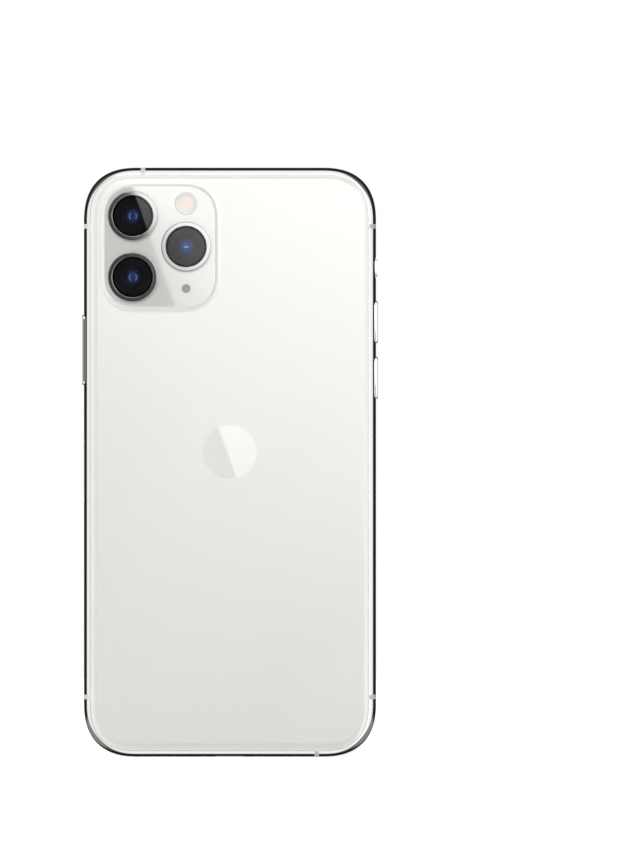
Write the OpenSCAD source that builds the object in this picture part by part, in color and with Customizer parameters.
// Smartphone: a steel band between two sheets of glass, with the parts that a phone holds inside.
// The phone stands upright. X is its width, Y its thickness and Z its height, in millimetres.
// The screen faces -Y and the cameras face +Y. The origin is at the mouth of the charging port.

/* [Body] */
// Width over the band
body_w = 71.4; // [71:0.1:72]
// Height over the band
body_h = 144; // [143.5:0.1:145]
// Thickness from glass to glass
body_t = 8.1; // [8.1:0.1:8.5]
// Radius of the four corners, seen from the front
corner_r = 11.3; // [11:0.1:12]

/* [Band] */
// Radius of the band's rounded side
bulge_r = 4.4; // [4.2:0.1:4.8]
// Width of the band from front lip to rear lip
band_t = 6.8; // [6.6:0.1:6.8]
// From the band's outermost point in to its lips
lip_inset = 1.72; // [1.65:0.01:1.8]
// Wall of the band
wall = 2.3; // [2.2:0.1:2.4]
// From the band's outermost point in to the edge of the ledges that carry the glass
ledge_inset = 3.3; // [3.2:0.1:3.4]
// Thickness of the two ledges
ledge_t = 0.5; // [0.4:0.1:0.6]
// Distance of each ledge's face from the middle plane
ledge_y = 2.85; // [2.8:0.05:2.85]
// Width of the plastic antenna breaks
break_w = 1.1; // [0.8:0.1:1.4]
// Heights of the breaks in the two long sides
side_breaks = [14.7, 129.6]; // [14:0.1:130]
// Distance of the top and bottom breaks from the middle
end_break_x = 21.2; // [20.5:0.1:22]

/* [Glass] */
// From the band's outermost point in to the edge of the glass
glass_inset = 1.85; // [1.85:0.01:2]
// From the band's outermost point in to where the glass is flat
glass_flat_inset = 3.6; // [3.5:0.1:3.8]
// Thickness of the glass
glass_t = 1.1; // [1:0.1:1.1]
// Radius of the glass's rounded edge
glass_edge_r = 2.54; // [2.5:0.01:2.7]

/* [Cameras] */
// Raised camera panel: low x, high x, low z, high z
panel = [3.35, 30.85, 109.6, 139.6]; // [3:0.05:140]
// Corner radius of the camera panel
panel_r = 6.9; // [6.5:0.1:7.5]
// Height of the camera panel above the rear glass
panel_rise = 0.95; // [0.8:0.05:1.1]
// Middle of the telephoto lens: x and z
tele_at = [23.6, 132]; // [10:0.1:133]
// Middle of the wide lens
wide_at = [23.6, 117.1]; // [10:0.1:133]
// Middle of the ultrawide lens
ultrawide_at = [10.6, 124.5]; // [10:0.1:133]
// Middle of the flash
flash_at = [10.6, 135]; // [10:0.1:136]
// Middle of the rear microphone
mic_at = [10.6, 114.3]; // [10:0.1:115]
// Outer radius of a lens ring
ring_r = 6.05; // [5.9:0.05:6.2]
// Height of the lens rings above the camera panel
ring_rise = 0.85; // [0.7:0.05:0.9]
// Radius of a lens cover
lens_cover_r = 5.0; // [4.9:0.05:5.1]
// Radius of the flash window
flash_r = 2.7; // [2.5:0.05:2.8]
// Radius of the microphone hole
mic_r = 1.07; // [0.9:0.01:1.1]
// Side of a camera module
module_side = 12.6; // [12:0.1:12.6]
// Radius of a moving lens barrel
barrel_r = 3.6; // [3.2:0.1:3.8]

/* [Buttons] */
// How far the buttons stand out of the band
button_rise = 0.42; // [0.3:0.02:0.5]
// Width of the buttons across the band
button_w = 2.7; // [2.5:0.1:2.8]
// Gap round a button in its pocket
button_gap = 0.1; // [0.08:0.01:0.15]
// Side button: middle height and length
side_button_z = [99.45, 17.1]; // [17:0.05:100]
// Volume up button: middle height and length
volume_up_z = [106.25, 10.3]; // [10:0.05:107]
// Volume down button: middle height and length
volume_down_z = [92.65, 10.3]; // [10:0.05:93]
// Ring switch: middle height and length
ring_switch_z = [119.45, 5.1]; // [5:0.05:120]

/* [SIM tray] */
// Middle height and length of the tray's face
tray_z = [70, 15.6]; // [15:0.1:71]
// Width of the tray's face across the band
tray_face_w = 2.5; // [2.4:0.1:2.6]
// Inner end of the tray
tray_end_x = 20.2; // [20:0.1:20.3]
// Height of the eject hole
eject_z = 64; // [63.9:0.1:64.1]
// Pivot of the eject lever: x and z
lever_at = [18, 69]; // [17.9:0.1:69.1]

/* [Bottom edge] */
// Charging port mouth: width and thickness
port = [7.6, 2.2]; // [2:0.1:8]
// Distance of the two bottom screws from the middle
screw_x = 6.35; // [6.2:0.05:6.5]
// Distance of the first sound hole from the middle
sound_x = 10.9; // [10.5:0.1:11.2]
// Spacing of the sound holes
sound_pitch = 2.6; // [2.3:0.1:2.6]
// Radius of a sound hole
sound_r = 0.75; // [0.6:0.05:0.8]
// Number of sound holes beside the loudspeaker
speaker_holes = 6; // [4:1:6]
// Number of sound holes beside the microphone
mic_holes = 3; // [2:1:3]

/* [Front] */
// Earpiece slot: height above the bottom edge, length and width
earpiece = [138, 9.4, 1.1]; // [1:0.1:139]
// Middle of the front camera: x and z
front_camera_at = [7.07, 138]; // [7:0.01:138]
// Half width and lower edge of the screen's notch
notch = [17.2, 134.2]; // [17:0.1:135]

/* [Inside] */
// Tall leg of the battery: low x, high x, low z, high z
battery_leg = [-30.6, 3.2, 29, 128]; // [-31:0.1:128]
// Foot of the battery
battery_foot = [-30.6, 31.2, 29, 60.5]; // [-31:0.1:61]
// Main circuit board
main_board = [5, 31.6, 62, 104]; // [5:0.1:104]
// Stacked upper circuit board
top_board = [5.4, 31.2, 80.4, 103.6]; // [5:0.1:104]
// Loudspeaker
speaker = [7.4, 31.6, 3.4, 26.6]; // [3:0.1:32]
// Haptic motor
haptic = [-31.4, -7, 13.4, 24.6]; // [-32:0.1:25]
// Middle height and outer radius of the charging coil
coil = [72, 24]; // [22:0.1:74]

/* [Hidden] */
fine = 64;
half_w = body_w / 2;
glass_y = body_t / 2;
glass_back_y = glass_y - glass_t;
gasket_t = glass_back_y - ledge_y;
wall_x = half_w - wall;
panel_y = glass_y + panel_rise;
ring_y = panel_y + ring_rise;
corner_x = half_w - corner_r;
corners = [
    [corner_x, body_h - corner_r], [-corner_x, body_h - corner_r],
    [-corner_x, corner_r], [corner_x, corner_r]];
// length of the straight that runs up to each corner in turn
runs = [body_h - 2 * corner_r, body_w - 2 * corner_r, body_h - 2 * corner_r, body_w - 2 * corner_r];
low_cut = side_breaks[0];
high_cut = side_breaks[1];
edge = break_w / 2;
// buttons: pockets, caps and the stems that reach the switches
pocket_depth = 1.5;
button_depth = 1.1;
stem_r = 0.5;
stem_hole_r = 0.56;
stem_end_x = 33.1;
switch_x = 32.8;
side_stem = 5.5;
volume_stem = 2.9;
// SIM tray, its card and where the card lies
tray_t = 0.9;
card_t = 0.67;
card = [20.9, 33.2, 67.1, 75.9];
card_seat = [card[0] - 0.05, card[1] + 0.05, card[2] - 0.05, card[3] + 0.05];
tray_body = [tray_end_x, 33.7, 65.6, 77.4];
// front and back faces of the layers inside
plate_front_y = 2.4;
battery_y = [-1.65, 2.25];
board_y = [0.9, 1.5];
upper_y = [-1, -0.4];
camera_y = [-2.05, 2.9];
fixed_lens_y = 1.6;
board_screws = [[6.2, 63.4], [30.4, 79.3], [8, 79.3]];

// ---- shared shapes ----

// Round-cornered rectangle with its middle at the origin
module round_rect(w, h, r) {
    square([w - 2 * r, h], center = true);
    square([w, h - 2 * r], center = true);
    for (sx = [-1, 1], sy = [-1, 1])
        translate([sx * (w / 2 - r), sy * (h / 2 - r)]) circle(r = r, $fn = fine);
}

// A drawing in X and Z, made solid from one Y to another
module sheet(y0, y1) {
    translate([0, y1, 0]) rotate([90, 0, 0]) linear_extrude(y1 - y0) children();
}

// A drawing in Y and Z, made solid from one X to another
module across(x0, x1) {
    translate([x0, 0, 0]) rotate([90, 0, 90]) linear_extrude(x1 - x0) children();
}

// Square-cornered block over [low x, high x, low z, high z]
module block(span, y0, y1) {
    translate([span[0], y0, span[2]]) cube([span[1] - span[0], y1 - y0, span[3] - span[2]]);
}

// Round-cornered drawing over [low x, high x, low z, high z]
module round_span(span, r) {
    translate([(span[0] + span[1]) / 2, (span[2] + span[3]) / 2])
        round_rect(span[1] - span[0], span[3] - span[2], r);
}

// Round-cornered block
module round_block(span, y0, y1, r) {
    sheet(y0, y1) round_span(span, r);
}

// Disc along Y
module disc(at, r, y0, y1) {
    translate([at[0], y0, at[1]]) rotate([-90, 0, 0]) cylinder(h = y1 - y0, r = r, $fn = fine);
}

// Tube along Y
module tube(at, outer, inner, y0, y1) {
    difference() {
        disc(at, outer, y0, y1);
        disc(at, inner, y0 - 1, y1 + 1);
    }
}

// Long hole or key shape with round ends, drawn upright
module pill(w, h) {
    round_rect(w, h, min(w, h) / 2 - 0.001);
}

// Carries a section round the phone's outline. The section's x runs out from the corner centres.
module rim() {
    for (k = [0:3]) {
        from = corners[(k + 3) % 4];
        translate([from[0], 0, from[1]]) rotate([0, -90 * k, 0]) linear_extrude(runs[k]) children();
        translate([corners[k][0], 0, corners[k][1]]) rotate([0, -90 * k, 0]) rotate([-90, 0, 0])
            rotate([0, 0, -90]) rotate_extrude(angle = 90, $fn = 2 * fine) children();
    }
}

// Turns a section drawn inwards from the outermost point into one that rim() carries
module inwards() {
    translate([corner_r, 0]) mirror([1, 0]) children();
}

// ---- band ----

module band_bulge(depth, half) {
    intersection() {
        translate([bulge_r, 0]) circle(r = bulge_r, $fn = 2 * fine);
        translate([0, -half]) square([depth, 2 * half]);
    }
}

module band_section() {
    difference() {
        union() {
            band_bulge(lip_inset, band_t / 2);
            band_bulge(ledge_inset, ledge_y);
        }
        translate([wall, -ledge_y + ledge_t]) square([ledge_inset, 2 * (ledge_y - ledge_t)]);
    }
}

module band_ring() {
    rim() inwards() band_section();
}

module break_blocks() {
    for (z = side_breaks)
        translate([-half_w - 1, -glass_y, z - break_w / 2]) cube([body_w + 2, body_t, break_w]);
    translate([end_break_x - break_w / 2, -glass_y, body_h - corner_r])
        cube([break_w, body_t, corner_r + 1]);
    translate([-end_break_x - break_w / 2, -glass_y, -1]) cube([break_w, body_t, corner_r + 1]);
}

// The part of the band inside [low x, high x, low z, high z]
module band_piece(span) {
    intersection() {
        band_ring();
        block(span, -glass_y, glass_y);
    }
}

module band_right() {
    color([0.75, 0.76, 0.77]) difference() {
        band_piece([0, half_w + 1, low_cut + edge, high_cut - edge]);
        button_pocket(side_button_z, side_stem);
        across(wall_x - 1, half_w + 1) translate([0, tray_z[0]])
            pill(tray_face_w + 0.2, tray_z[1] + 0.2);
    }
}

module band_left() {
    color([0.75, 0.76, 0.77]) difference() {
        band_piece([-half_w - 1, 0, low_cut + edge, high_cut - edge]);
        mirror([1, 0, 0]) {
            button_pocket(volume_up_z, volume_stem);
            button_pocket(volume_down_z, volume_stem);
            across(half_w - pocket_depth, half_w + 1) translate([0, ring_switch_z[0]])
                pill(button_w + 2 * button_gap, ring_switch_z[1] + 2 * button_gap);
            across(wall_x - 1, half_w) translate([0, ring_switch_z[0]]) square([2.4, 1.6], center = true);
        }
    }
}

module band_top() {
    color([0.75, 0.76, 0.77])
        band_piece([-half_w - 1, end_break_x - edge, high_cut + edge, body_h + 1]);
}

module band_top_corner() {
    color([0.75, 0.76, 0.77])
        band_piece([end_break_x + edge, half_w + 1, high_cut + edge, body_h + 1]);
}

module band_bottom() {
    color([0.75, 0.76, 0.77]) difference() {
        band_piece([-end_break_x + edge, half_w + 1, -1, low_cut - edge]);
        translate([0, 0, -1]) linear_extrude(wall + 2) pill(port[0], port[1]);
        for (i = [0:speaker_holes - 1]) sound_hole(sound_x + i * sound_pitch);
        for (i = [0:mic_holes - 1]) sound_hole(-sound_x - i * sound_pitch);
        for (s = [-1, 1]) translate([s * screw_x, 0, -1]) {
            cylinder(h = 1.95, r = 0.85, $fn = fine);
            cylinder(h = wall + 2, r = 0.55, $fn = fine);
        }
    }
}

module band_bottom_corner() {
    color([0.75, 0.76, 0.77])
        band_piece([-half_w - 1, -end_break_x - edge, -1, low_cut - edge]);
}

module antenna_breaks() {
    color([0.72, 0.72, 0.70]) intersection() {
        band_ring();
        break_blocks();
    }
}

module sound_hole(x) {
    translate([x, 0, -1]) cylinder(h = wall + 2, r = sound_r, $fn = fine);
}

// ---- glass and display ----

// Section of a glass sheet, from its rounded edge in to the corner centres
module glass_section() {
    intersection() {
        translate([glass_flat_inset, glass_y - glass_edge_r]) circle(r = glass_edge_r, $fn = 2 * fine);
        translate([glass_inset, glass_back_y]) square([glass_flat_inset - glass_inset, glass_t]);
    }
    translate([glass_flat_inset, glass_back_y]) square([corner_r - glass_flat_inset, glass_t]);
}

module glass_sheet() {
    rim() inwards() glass_section();
    translate([-corner_x, glass_back_y, corner_r])
        cube([2 * corner_x, glass_t, body_h - 2 * corner_r]);
}

module gasket() {
    rim() inwards() {
        translate([lip_inset, ledge_y]) square([glass_inset - lip_inset, band_t / 2 - ledge_y]);
        translate([lip_inset, ledge_y]) square([ledge_inset - lip_inset, gasket_t]);
    }
}

// Space inside the band's wall, less a gap
module inside_wall(gap) {
    translate([0, body_h / 2]) round_rect(
        body_w - 2 * (wall + gap), body_h - 2 * (wall + gap), corner_r - wall - gap);
}

// Sheet that fits inside the ledges
module inner_outline() {
    translate([0, body_h / 2])
        round_rect(body_w - 2 * ledge_inset, body_h - 2 * ledge_inset, corner_r - ledge_inset);
}

module cover_glass() {
    color([0.05, 0.05, 0.06, 0.9]) difference() {
        mirror([0, 1, 0]) glass_sheet();
        sheet(-glass_y - 1, -glass_back_y + 1) translate([0, earpiece[0]])
            pill(earpiece[1], earpiece[2]);
    }
}

module display_gasket() {
    color([0.12, 0.12, 0.12]) mirror([0, 1, 0]) gasket();
}

module display_panel() {
    color([0.10, 0.13, 0.20]) sheet(-glass_back_y, -2.5) difference() {
        inner_outline();
        translate([-notch[0], notch[1]]) square([2 * notch[0], body_h]);
    }
}

module display_backplate() {
    color([0.35, 0.36, 0.38]) sheet(-2.5, -2.3) difference() {
        inner_outline();
        translate([-notch[0], notch[1]]) square([2 * notch[0], body_h]);
    }
}

module rear_glass() {
    color([0.93, 0.93, 0.89]) difference() {
        union() {
            glass_sheet();
            round_block(panel, glass_back_y, panel_y, panel_r);
        }
        for (at = [tele_at, wide_at, ultrawide_at]) disc(at, ring_r - 0.45, 0, ring_y);
        disc(flash_at, flash_r, 0, ring_y);
        disc(mic_at, mic_r, 0, ring_y);
    }
}

module rear_gasket() {
    color([0.70, 0.70, 0.68]) gasket();
}

module back_plate() {
    color([0.55, 0.56, 0.58]) sheet(plate_front_y, ledge_y) difference() {
        inner_outline();
        round_span(panel, 3);
        translate([0, coil[0]]) circle(r = coil[1] + 1, $fn = 2 * fine);
    }
}

// ---- rear cameras ----

module lens_ring(at) {
    color([0.40, 0.41, 0.42]) difference() {
        union() {
            disc(at, ring_r, panel_y, ring_y);
            disc(at, ring_r - 0.5, glass_back_y, panel_y);
        }
        disc(at, lens_cover_r, ring_y - 0.7, ring_y + 1);
        disc(at, lens_cover_r - 0.5, 0, ring_y);
    }
}

module tele_lens_ring() {
    lens_ring(tele_at);
}

module wide_lens_ring() {
    lens_ring(wide_at);
}

module ultrawide_lens_ring() {
    lens_ring(ultrawide_at);
}

module lens_covers() {
    color([0.04, 0.05, 0.10, 0.8]) for (at = [tele_at, wide_at, ultrawide_at])
        disc(at, lens_cover_r, ring_y - 0.7, ring_y - 0.1);
}

module flash_lens() {
    color([0.85, 0.76, 0.70]) disc(flash_at, flash_r, 3.3, panel_y);
}

module flash_led() {
    color([0.95, 0.85, 0.45]) {
        for (s = [-1, 1]) block(
            [flash_at[0] + s * 0.9 - 0.7, flash_at[0] + s * 0.9 + 0.7, flash_at[1] - 0.9, flash_at[1] + 0.9],
            2.9, 3.2);
        disc(flash_at, 2.5, 2.4, 2.9);
    }
}

module rear_mic_mesh() {
    color([0.45, 0.45, 0.44]) disc(mic_at, mic_r, panel_y - 0.5, panel_y - 0.25);
}

// Body of one camera, with the bore that its lens barrel slides in and the sensor below it
module camera_module(at) {
    s = module_side / 2;
    difference() {
        round_block([at[0] - s, at[0] + s, at[1] - s, at[1] + s], camera_y[0], camera_y[1], 1);
        disc(at, barrel_r + 0.08, -1.2, camera_y[1] + 1);
    }
}

module tele_camera() {
    color([0.25, 0.26, 0.28]) camera_module(tele_at);
}

module wide_camera() {
    color([0.25, 0.26, 0.28]) camera_module(wide_at);
}

// The ultrawide lens has a fixed focus, so its barrel is part of the camera
module ultrawide_camera() {
    color([0.25, 0.26, 0.28]) {
        camera_module(ultrawide_at);
        disc(ultrawide_at, barrel_r + 0.08, -1.2, fixed_lens_y);
    }
}

module lens_barrel(at) {
    difference() {
        disc(at, barrel_r, -0.6, 3.7);
        disc(at, barrel_r - 1, 3.2, 4);
    }
}

module tele_lens_barrel() {
    color([0.10, 0.10, 0.12]) lens_barrel(tele_at);
}

module wide_lens_barrel() {
    color([0.10, 0.10, 0.12]) lens_barrel(wide_at);
}

module camera_bracket() {
    color([0.60, 0.61, 0.62]) {
        block([17, 30.2, 110.4, 138.6], -2.25, -2.05);
        block([3.9, 17, 117.8, 131.2], -2.25, -2.05);
    }
}

// ---- buttons ----

// Pocket for a button with two stems: the button's [middle, length] and its stems' distance
module button_pocket(button, stem) {
    across(half_w - pocket_depth, half_w + 1) translate([0, button[0]])
        pill(button_w + 2 * button_gap, button[1] + 2 * button_gap);
    for (s = [-1, 1]) translate([wall_x - 1, 0, button[0] + s * stem]) rotate([0, 90, 0])
        cylinder(h = 3, r = stem_hole_r, $fn = fine);
}

module button(button, stem) {
    across(half_w - button_depth, half_w + button_rise) translate([0, button[0]])
        pill(button_w, button[1]);
    for (s = [-1, 1]) translate([stem_end_x, 0, button[0] + s * stem]) rotate([0, 90, 0])
        cylinder(h = half_w - button_depth + 0.1 - stem_end_x, r = stem_r, $fn = fine);
}

module side_button() {
    color([0.80, 0.81, 0.82]) button(side_button_z, side_stem);
}

module volume_up_button() {
    color([0.80, 0.81, 0.82]) mirror([1, 0, 0]) button(volume_up_z, volume_stem);
}

module volume_down_button() {
    color([0.80, 0.81, 0.82]) mirror([1, 0, 0]) button(volume_down_z, volume_stem);
}

// A key that slides across the band in its pocket, with a tail that reaches inside
module ring_switch() {
    color([0.80, 0.81, 0.82]) mirror([1, 0, 0]) {
        across(half_w - button_depth, half_w + button_rise) translate([-0.6, ring_switch_z[0]])
            round_rect(1.3, ring_switch_z[1] - 0.9, 0.6);
        across(wall_x - 0.4, half_w - button_depth + 0.1) translate([-0.6, ring_switch_z[0]])
            square([0.8, 1.2], center = true);
    }
}

// Flexible strips with a dome switch behind each button stem
module button_switches() {
    color([0.75, 0.55, 0.20]) {
        switch_strip(side_button_z[0] - 9, side_button_z[0] + 9);
        dome(side_button_z, side_stem);
        mirror([1, 0, 0]) {
            switch_strip(volume_down_z[0] - 6, volume_up_z[0] + 6);
            dome(volume_up_z, volume_stem);
            dome(volume_down_z, volume_stem);
        }
    }
}

module switch_strip(z0, z1) {
    block([switch_x - 0.8, switch_x - 0.5, z0, z1], -1.3, 1.3);
}

module dome(button, stem) {
    for (s = [-1, 1]) translate([switch_x - 0.6, 0, button[0] + s * stem]) rotate([0, 90, 0])
        cylinder(h = 0.6, r = 1, $fn = fine);
}

// ---- SIM tray and its ejector ----

module sim_tray() {
    color([0.78, 0.79, 0.80]) {
        difference() {
            intersection() {
                translate([half_w, 0, tray_z[0] - tray_z[1]]) mirror([1, 0, 0])
                    linear_extrude(2 * tray_z[1]) band_bulge(2.2, band_t / 2);
                across(wall_x - 1, half_w + 1) translate([0, tray_z[0]]) pill(tray_face_w, tray_z[1]);
            }
            translate([wall_x - 1, 0, eject_z]) rotate([0, 90, 0]) cylinder(h = 5, r = 0.5, $fn = fine);
        }
        difference() {
            block(tray_body, -tray_t / 2, tray_t / 2);
            block(card_seat, -tray_t / 2 + 0.1, tray_t);
            block([card[0] + 1, card[1] - 1, card[2] + 1, card[3] - 1], -1, 1);
        }
    }
}

module sim_card() {
    color([0.85, 0.85, 0.83]) sheet(-tray_t / 2 + 0.1, -tray_t / 2 + 0.1 + card_t) difference() {
        round_span(card, 0.8);
        translate([card[0] - 1, card[3] - 1]) rotate(45) square(2.6);
    }
}

// Cage that the tray slides in, with the guide of the ejector and the lever's pin
module sim_reader() {
    color([0.70, 0.71, 0.72]) {
        difference() {
            block([20.4, 33.3, 65.2, 78.2], -0.85, 0.9);
            block([20, 34, tray_body[2] - 0.15, tray_body[3] + 0.15], -0.6, 0.6);
        }
        difference() {
            block([23, 29, eject_z - 0.9, 65.2], -0.85, 0.9);
            translate([22, 0, eject_z]) rotate([0, 90, 0]) cylinder(h = 8, r = 0.52, $fn = fine);
        }
        block([16.4, 20.4, 65.2, 76], 0.7, 0.9);
        disc(lever_at, 0.5, -0.6, 0.75);
    }
}

module eject_plunger() {
    color([0.60, 0.61, 0.62]) translate([18.7, 0, eject_z]) rotate([0, 90, 0])
        cylinder(h = 14.6, r = 0.45, $fn = fine);
}

module eject_lever() {
    color([0.60, 0.61, 0.62]) difference() {
        block([lever_at[0] - 0.4, lever_at[0] + 0.4, lever_at[1] - 5.7, lever_at[1] + 5.4], -0.45, 0.45);
        disc(lever_at, 0.56, -1, 1);
    }
    color([0.60, 0.61, 0.62]) tube(lever_at, 1.1, 0.56, -0.45, 0.45);
}

// ---- bottom edge ----

module port_shell() {
    color([0.65, 0.66, 0.68]) difference() {
        translate([0, 0, wall]) linear_extrude(9) round_rect(9.4, 3.8, 1);
        translate([0, 0, wall - 1]) linear_extrude(9) pill(port[0] - 0.4, port[1] - 0.4);
    }
}

// Eight contact springs on the front wall of the port
module port_contacts() {
    color([0.85, 0.70, 0.35]) for (i = [0:7])
        translate([(i - 3.5) * 0.7 - 0.2, -port[1] / 2 + 0.2, wall + 2]) cube([0.4, 0.2, 5]);
}

module bottom_screws() {
    color([0.70, 0.71, 0.72]) for (s = [-1, 1]) translate([s * screw_x, 0, 0]) difference() {
        union() {
            translate([0, 0, 0.25]) cylinder(h = 0.7, r = 0.8, $fn = fine);
            translate([0, 0, 0.9]) cylinder(h = 4.6, r = 0.5, $fn = fine);
        }
        translate([0, 0, -0.5]) cylinder(h = 1.15, r = 0.42, $fn = 5);
    }
}

module bottom_mesh() {
    speaker_end = sound_x + (speaker_holes - 1) * sound_pitch;
    mic_end = sound_x + (mic_holes - 1) * sound_pitch;
    color([0.20, 0.20, 0.21]) {
        block([sound_x - 0.8, speaker_end + 0.8, wall + 0.03, wall + 0.2], -1, 1);
        block([-mic_end - 0.8, -sound_x + 0.8, wall + 0.03, wall + 0.2], -1, 1);
    }
}

// Sound box with a duct to the bottom edge and an open chamber for the diaphragm
module loudspeaker() {
    color([0.18, 0.18, 0.20]) difference() {
        sheet(-2, 1.9) intersection() {
            round_span(speaker, 1.2);
            inside_wall(0.2);
        }
        round_block([10, 28, 10, 23], -1.6, 1.5, 2);
        round_block([11.5, 26.5, 11.5, 21.5], -3, 0, 2);
        block([sound_x - 1, 24.5, 3, 11], -0.8, 0.8);
    }
}

module speaker_diaphragm() {
    color([0.30, 0.30, 0.33]) round_block([10.4, 27.6, 10.4, 22.6], 0.2, 0.6, 2);
}

module haptic_case() {
    color([0.62, 0.63, 0.65]) difference() {
        round_block(haptic, -2, 1.9, 0.6);
        block([haptic[0] + 0.35, haptic[1] - 0.35, haptic[2] + 0.35, haptic[3] - 0.35], -1.65, 1.55);
    }
}

// Weight that the haptic motor shakes from side to side
module haptic_mass() {
    color([0.45, 0.44, 0.42])
        block([haptic[0] + 1.25, haptic[1] - 1.25, haptic[2] + 0.6, haptic[3] - 0.6], -1.4, 1.3);
}

// ---- battery, boards and charging coil ----

module battery() {
    color([0.16, 0.16, 0.17]) sheet(battery_y[0], battery_y[1]) {
        round_span(battery_leg, 1.5);
        round_span(battery_foot, 1.5);
    }
}

module battery_tabs() {
    color([0.90, 0.90, 0.92]) for (x = [-28, -22, -4])
        block([x, x + 3.5, 31, 47], battery_y[1], plate_front_y);
}

module logic_board() {
    color([0.10, 0.32, 0.20]) difference() {
        round_block(main_board, board_y[0], board_y[1], 1.5);
        for (at = board_screws) disc(at, 0.5, 0, 2);
    }
}

module board_interposer() {
    color([0.15, 0.40, 0.25]) sheet(upper_y[1], board_y[0]) difference() {
        round_span(top_board, 1);
        round_span([top_board[0] + 1.3, top_board[1] - 1.3, top_board[2] + 1.3, top_board[3] - 1.3], 0.6);
    }
}

module upper_board() {
    color([0.10, 0.32, 0.20]) round_block(top_board, upper_y[0], upper_y[1], 1);
}

module board_chips() {
    color([0.12, 0.12, 0.13]) {
        block([10, 22, 84, 97], 0.1, board_y[0]);
        block([23.5, 29, 85, 95], 0.2, board_y[0]);
        block([9, 20, 66, 75], board_y[1], 2.1);
        block([10, 24, 84, 96], board_y[1], 2.1);
        block([7, 13, 66, 72], 0.2, board_y[0]);
    }
}

// Sheet lid over the upper board
module board_shield() {
    lid = [top_board[0] + 0.4, top_board[1] - 0.4, top_board[2] + 0.4, top_board[3] - 0.4];
    color([0.72, 0.73, 0.75]) difference() {
        round_block(lid, -2.05, upper_y[0], 0.8);
        block([lid[0] + 0.2, lid[1] - 0.2, lid[2] + 0.2, lid[3] - 0.2], -1.85, 0);
    }
}

module wireless_coil() {
    color([0.72, 0.42, 0.22]) tube([0, coil[0]], coil[1] - 1, coil[1] - 10, 2.55, ledge_y);
    color([0.20, 0.20, 0.21]) disc([0, coil[0]], coil[1], plate_front_y, 2.55);
}

// ---- top edge ----

module front_camera() {
    at = front_camera_at;
    color([0.08, 0.08, 0.12]) {
        block([at[0] - 2.7, at[0] + 2.7, 134.9, 140.4], -1.6, -0.3);
        disc(at, 1.7, -2.9, -1.5);
    }
}

// Sensor bar behind the notch: its carrier, an infrared camera, a flood light and a dot projector
module face_sensors() {
    color([0.30, 0.31, 0.33]) {
        block([-16.6, 16.6, 134.7, 140.9], -0.3, 0);
        for (x = [-13.6, 13.4]) {
            block([x - 2.7, x + 2.7, 134.9, 140.4], -1.6, -0.2);
            disc([x, 138], 1.6, -2.9, -1.5);
        }
        disc([-8.4, 138], 1.2, -2.9, -0.2);
    }
}

module earpiece_speaker() {
    color([0.18, 0.18, 0.20]) difference() {
        block([-6.6, 3.9, 134.9, 140.6], -2.3, -0.3);
        block([-6.1, 3.4, 135.4, 140.1], -1.9, -0.7);
        block([-5, 2.4, 136.2, 139.2], -3, -1);
    }
}

module earpiece_diaphragm() {
    color([0.30, 0.30, 0.33]) block([-5.9, 3.2, 135.6, 139.9], -1.4, -1.2);
}

module earpiece_mesh() {
    color([0.15, 0.15, 0.16]) sheet(-glass_y + 0.3, -glass_y + 0.5) translate([0, earpiece[0]])
        pill(earpiece[1], earpiece[2]);
}

// ---- cables and screws ----

module flex_cables() {
    color([0.80, 0.50, 0.15]) {
        block([-3, 3, 11.5, 28.8], 1.9, 2.05);
        block([15, 21, 60.6, 63], 1.5, 1.65);
        block([6.5, 12.5, 73.2, 79.2], -2.25, -2.1);
        block([6.5, 12.5, 73.2, 73.4], -2.1, board_y[0]);
    }
}

module inner_screw(at, y) {
    disc(at, 0.8, y - 0.4, y);
    disc(at, 0.45, y - 0.1, y + 1.2);
}

module inner_screws() {
    color([0.70, 0.71, 0.72]) for (at = board_screws) inner_screw(at, board_y[0]);
}

cover_glass();
display_gasket();
display_panel();
display_backplate();
rear_glass();
rear_gasket();
back_plate();
band_right();
band_left();
band_top();
band_top_corner();
band_bottom();
band_bottom_corner();
antenna_breaks();
tele_lens_ring();
wide_lens_ring();
ultrawide_lens_ring();
lens_covers();
flash_lens();
flash_led();
rear_mic_mesh();
side_button();
volume_up_button();
volume_down_button();
ring_switch();
button_switches();
sim_tray();
sim_card();
sim_reader();
eject_plunger();
eject_lever();
port_shell();
port_contacts();
bottom_screws();
bottom_mesh();
loudspeaker();
speaker_diaphragm();
haptic_case();
haptic_mass();
battery();
battery_tabs();
logic_board();
board_interposer();
upper_board();
board_chips();
board_shield();
camera_bracket();
tele_camera();
wide_camera();
ultrawide_camera();
tele_lens_barrel();
wide_lens_barrel();
front_camera();
face_sensors();
earpiece_speaker();
earpiece_diaphragm();
earpiece_mesh();
wireless_coil();
flex_cables();
inner_screws();
